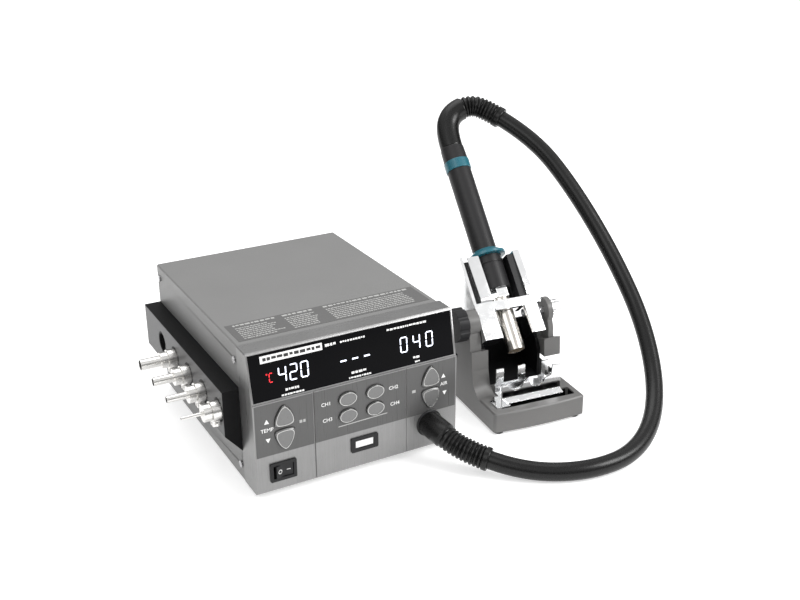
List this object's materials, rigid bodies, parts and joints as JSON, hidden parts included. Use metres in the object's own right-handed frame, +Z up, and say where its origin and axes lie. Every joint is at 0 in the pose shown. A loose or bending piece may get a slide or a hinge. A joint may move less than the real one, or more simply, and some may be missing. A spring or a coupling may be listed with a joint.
{
  "type": "hot air station",
  "caption": "Bench hot air rework station: sloped-display control case with side nozzle rack, ribbed-boot air hose and a handpiece resting in a tilting metal stand.",
  "frame": {"origin": "on the bench, under the middle of the rigid parts", "axes": "+X to the right of the front panel, +Y from the front panel to the back, +Z up"},
  "size_m": [0.4497, 0.3535, 0.2606],
  "materials": {
    "case_paint": "satin",
    "panel_metal": "brushed",
    "panel_film": "matt",
    "button_silver": "satin",
    "dark_window": "gloss",
    "board_green": "matt",
    "black_plastic": "matt",
    "white_plastic": "gloss",
    "screw_steel": "satin",
    "black_steel": "satin",
    "nozzle_steel": "polished",
    "black_rubber": "satin",
    "cast_grey": "satin",
    "bright_chrome": "polished",
    "teal_plastic": "satin"
  },
  "bodies": {
    "station": {"base_chassis": "case_paint", "top_cover": "case_paint", "rear_panel": "case_paint", "front_bezel": "panel_metal", "control_film": "panel_film", "front_boards": "board_green", "display_window": "dark_window", "digit_modules": "black_plastic", "port_frame": "black_plastic", "port_tongue": "white_plastic", "switch_housing": "black_plastic", "top_label": "panel_film", "screws": "screw_steel", "rubber_feet": "black_rubber", "transformer": "screw_steel", "power_board": "board_green", "power_parts": "black_plastic", "blower_housing": "black_plastic", "blower_motor": "black_plastic", "air_duct": "black_plastic", "mains_inlet": "black_plastic", "fuse_holder": "black_plastic", "nozzle_rack": "black_steel", "hose_gland": "black_plastic", "gland_nut": "black_plastic", "lower_boot": "black_rubber", "air_hose": "black_rubber", "stand_base": "cast_grey", "nozzle_clip": "bright_chrome", "stand_bracket": "black_steel", "pivot_arms": "cast_grey", "pivot_bolts": "screw_steel"},
    "temp_up": {"temp_up_button": "button_silver"},
    "temp_down": {"temp_down_button": "button_silver"},
    "air_up": {"air_up_button": "button_silver"},
    "air_down": {"air_down_button": "button_silver"},
    "ch1": {"ch1_button": "button_silver"},
    "ch2": {"ch2_button": "button_silver"},
    "ch3": {"ch3_button": "button_silver"},
    "ch4": {"ch4_button": "button_silver"},
    "rocker": {"power_rocker": "black_plastic"},
    "impeller": {"blower_impeller": "black_plastic"},
    "nozzle_1": {"rack_nozzle_1": "nozzle_steel"},
    "nozzle_2": {"rack_nozzle_2": "nozzle_steel"},
    "nozzle_3": {"rack_nozzle_3": "nozzle_steel"},
    "nozzle_4": {"rack_nozzle_4": "nozzle_steel"},
    "tilt_knob": {"clamp_knob": "black_plastic"},
    "side_knob": {"lock_knob": "bright_chrome"},
    "cradle": {"cradle": "bright_chrome", "cradle_jaws": "bright_chrome", "cradle_liner": "black_plastic"},
    "handpiece": {"heater_tube": "nozzle_steel", "heater_core": "white_plastic", "clamp_nut": "screw_steel", "handle_collar": "black_plastic", "lower_ring": "teal_plastic", "handle_grip": "black_plastic", "upper_ring": "teal_plastic", "handle_cap": "black_plastic", "upper_boot": "black_rubber"}
  },
  "joints": [
    {"name": "temp_up_press", "type": "slide", "parent": "station", "child": "temp_up", "axis": [0, 1, 0], "range_m": [0, 0.001], "stiffness_N_per_m": 300},
    {"name": "temp_down_press", "type": "slide", "parent": "station", "child": "temp_down", "axis": [0, 1, 0], "range_m": [0, 0.001], "stiffness_N_per_m": 300},
    {"name": "air_up_press", "type": "slide", "parent": "station", "child": "air_up", "axis": [0, 1, 0], "range_m": [0, 0.001], "stiffness_N_per_m": 300},
    {"name": "air_down_press", "type": "slide", "parent": "station", "child": "air_down", "axis": [0, 1, 0], "range_m": [0, 0.001], "stiffness_N_per_m": 300},
    {"name": "ch1_press", "type": "slide", "parent": "station", "child": "ch1", "axis": [0, 1, 0], "range_m": [0, 0.001], "stiffness_N_per_m": 300},
    {"name": "ch2_press", "type": "slide", "parent": "station", "child": "ch2", "axis": [0, 1, 0], "range_m": [0, 0.001], "stiffness_N_per_m": 300},
    {"name": "ch3_press", "type": "slide", "parent": "station", "child": "ch3", "axis": [0, 1, 0], "range_m": [0, 0.001], "stiffness_N_per_m": 300},
    {"name": "ch4_press", "type": "slide", "parent": "station", "child": "ch4", "axis": [0, 1, 0], "range_m": [0, 0.001], "stiffness_N_per_m": 300},
    {"name": "power_switch", "type": "hinge", "parent": "station", "child": "rocker", "pos_m": [-0.11926, -0.1113, 0.0246], "axis": [0, 0, 1], "range_deg": [-16, 0]},
    {"name": "impeller_spin", "type": "hinge", "parent": "station", "child": "impeller", "pos_m": [-0.00666, 0.0172, 0.028], "axis": [0, 0, 1], "continuous": true},
    {"name": "nozzle_1_pull", "type": "slide", "parent": "station", "child": "nozzle_1", "axis": [-1, 0, 0], "range_m": [0, 0.03]},
    {"name": "nozzle_2_pull", "type": "slide", "parent": "station", "child": "nozzle_2", "axis": [-1, 0, 0], "range_m": [0, 0.03]},
    {"name": "nozzle_3_pull", "type": "slide", "parent": "station", "child": "nozzle_3", "axis": [-1, 0, 0], "range_m": [0, 0.03]},
    {"name": "nozzle_4_pull", "type": "slide", "parent": "station", "child": "nozzle_4", "axis": [-1, 0, 0], "range_m": [0, 0.03]},
    {"name": "tilt_knob_turn", "type": "hinge", "parent": "station", "child": "tilt_knob", "pos_m": [0.09081, -0.05503, 0.085], "axis": [0.9949, -0.1011, 0], "continuous": true},
    {"name": "side_knob_turn", "type": "hinge", "parent": "station", "child": "side_knob", "pos_m": [0.17875, -0.06396, 0.085], "axis": [0.9949, -0.1011, 0], "continuous": true},
    {"name": "cradle_tilt", "type": "hinge", "parent": "station", "child": "cradle", "pos_m": [0.13727, -0.05975, 0.085], "axis": [0.9949, -0.1011, 0], "range_deg": [-12, 35], "deforming": ["air_hose"]},
    {"name": "handpiece_lift", "type": "slide", "parent": "cradle", "child": "handpiece", "axis": [0.0681, 0.6702, 0.739], "range_m": [0, 0.09], "deforming": ["air_hose"]}
  ]
}
